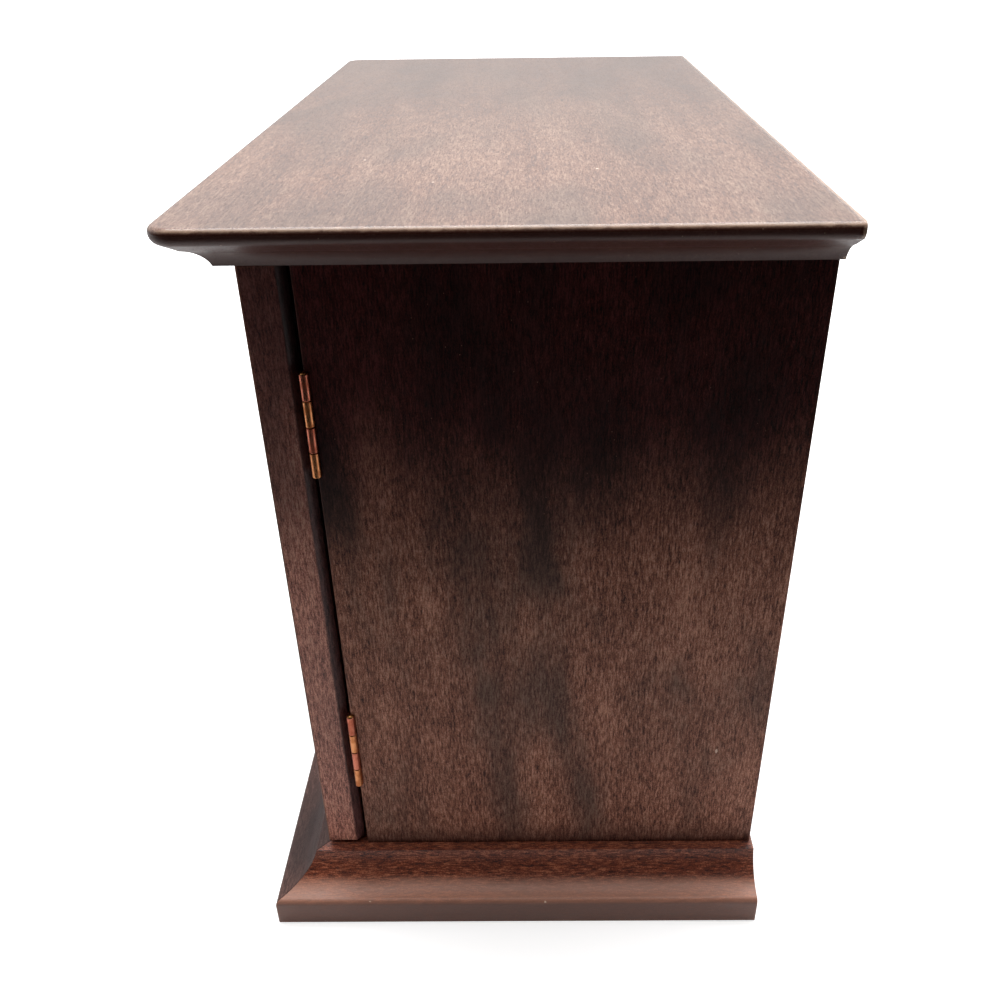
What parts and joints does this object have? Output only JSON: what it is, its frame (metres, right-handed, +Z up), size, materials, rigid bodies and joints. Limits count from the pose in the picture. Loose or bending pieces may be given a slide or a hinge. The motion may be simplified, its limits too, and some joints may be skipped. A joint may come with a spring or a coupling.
{
  "type": "desktop cabinet with doors",
  "caption": "Small tabletop cabinet with hinged panelled doors, a fixed shelf inside, and moulded edges round its top board and its base.",
  "frame": {"origin": "centre of the base's footprint, on the surface that it stands on", "axes": "+Z up, -Y out of the doors, +X to the right of someone who faces the doors"},
  "size_m": [0.359, 0.1976, 0.2894],
  "materials": {
    "top_wood": "satin dark stained hardwood, worn bright along the edges",
    "case_wood": "satin dark stained hardwood with fine open grain",
    "base_wood": "glossier dark stained hardwood",
    "door_wood": "satin dark stained hardwood",
    "back_ply": "bare thin plywood",
    "dowel_wood": "bare beech",
    "hinge_leaf": "aged copper-toned brass",
    "hinge_pin": "aged brass",
    "knob_brass": "aged brass",
    "brass_screw": "brass",
    "steel": "zinc plated",
    "magnet": "nickel plated",
    "catch_plastic": "brown moulded plastic"
  },
  "bodies": {
    "case": {"top_board": "top_wood", "inner_top": "case_wood", "side_panel_left": "case_wood", "side_panel_right": "case_wood", "bottom_board": "case_wood", "shelf": "case_wood", "back_panel": "back_ply", "base_moulding_front": "base_wood", "base_moulding_left": "base_wood", "base_moulding_right": "base_wood", "base_rail_back": "base_wood", "case_dowels": "dowel_wood", "base_dowels": "dowel_wood", "top_screws": "steel", "base_screws": "steel", "back_nails": "steel", "catch_housing": "catch_plastic", "catch_magnets": "magnet", "catch_screws": "steel", "case_leaf_right_upper": "hinge_leaf", "case_leaf_right_lower": "hinge_leaf", "case_leaf_left_upper": "hinge_leaf", "case_leaf_left_lower": "hinge_leaf", "hinge_pin_right_upper": "hinge_pin", "hinge_pin_right_lower": "hinge_pin", "hinge_pin_left_upper": "hinge_pin", "hinge_pin_left_lower": "hinge_pin", "case_leaf_screws": "brass_screw"},
    "right_door": {"hinge_stile_right": "door_wood", "meeting_stile_right": "door_wood", "top_rail_right": "door_wood", "bottom_rail_right": "door_wood", "door_panel_right": "door_wood", "door_leaf_right_upper": "hinge_leaf", "door_leaf_right_lower": "hinge_leaf", "door_leaf_screws_right": "brass_screw", "knob_right": "knob_brass", "knob_screw_right": "steel", "strike_plate_right": "steel", "strike_screw_right": "steel"},
    "left_door": {"hinge_stile_left": "door_wood", "meeting_stile_left": "door_wood", "top_rail_left": "door_wood", "bottom_rail_left": "door_wood", "door_panel_left": "door_wood", "door_leaf_left_upper": "hinge_leaf", "door_leaf_left_lower": "hinge_leaf", "door_leaf_screws_left": "brass_screw", "knob_left": "knob_brass", "knob_screw_left": "steel", "strike_plate_left": "steel", "strike_screw_left": "steel"}
  },
  "joints": [
    {"name": "right_door_hinge", "type": "hinge", "parent": "case", "child": "right_door", "pos_m": [0.1606, -0.0623, 0.15], "axis": [0, 0, 1], "range_deg": [0, 180]},
    {"name": "left_door_hinge", "type": "hinge", "parent": "case", "child": "left_door", "pos_m": [-0.1606, -0.0623, 0.15], "axis": [0, 0, -1], "range_deg": [0, 180]}
  ]
}
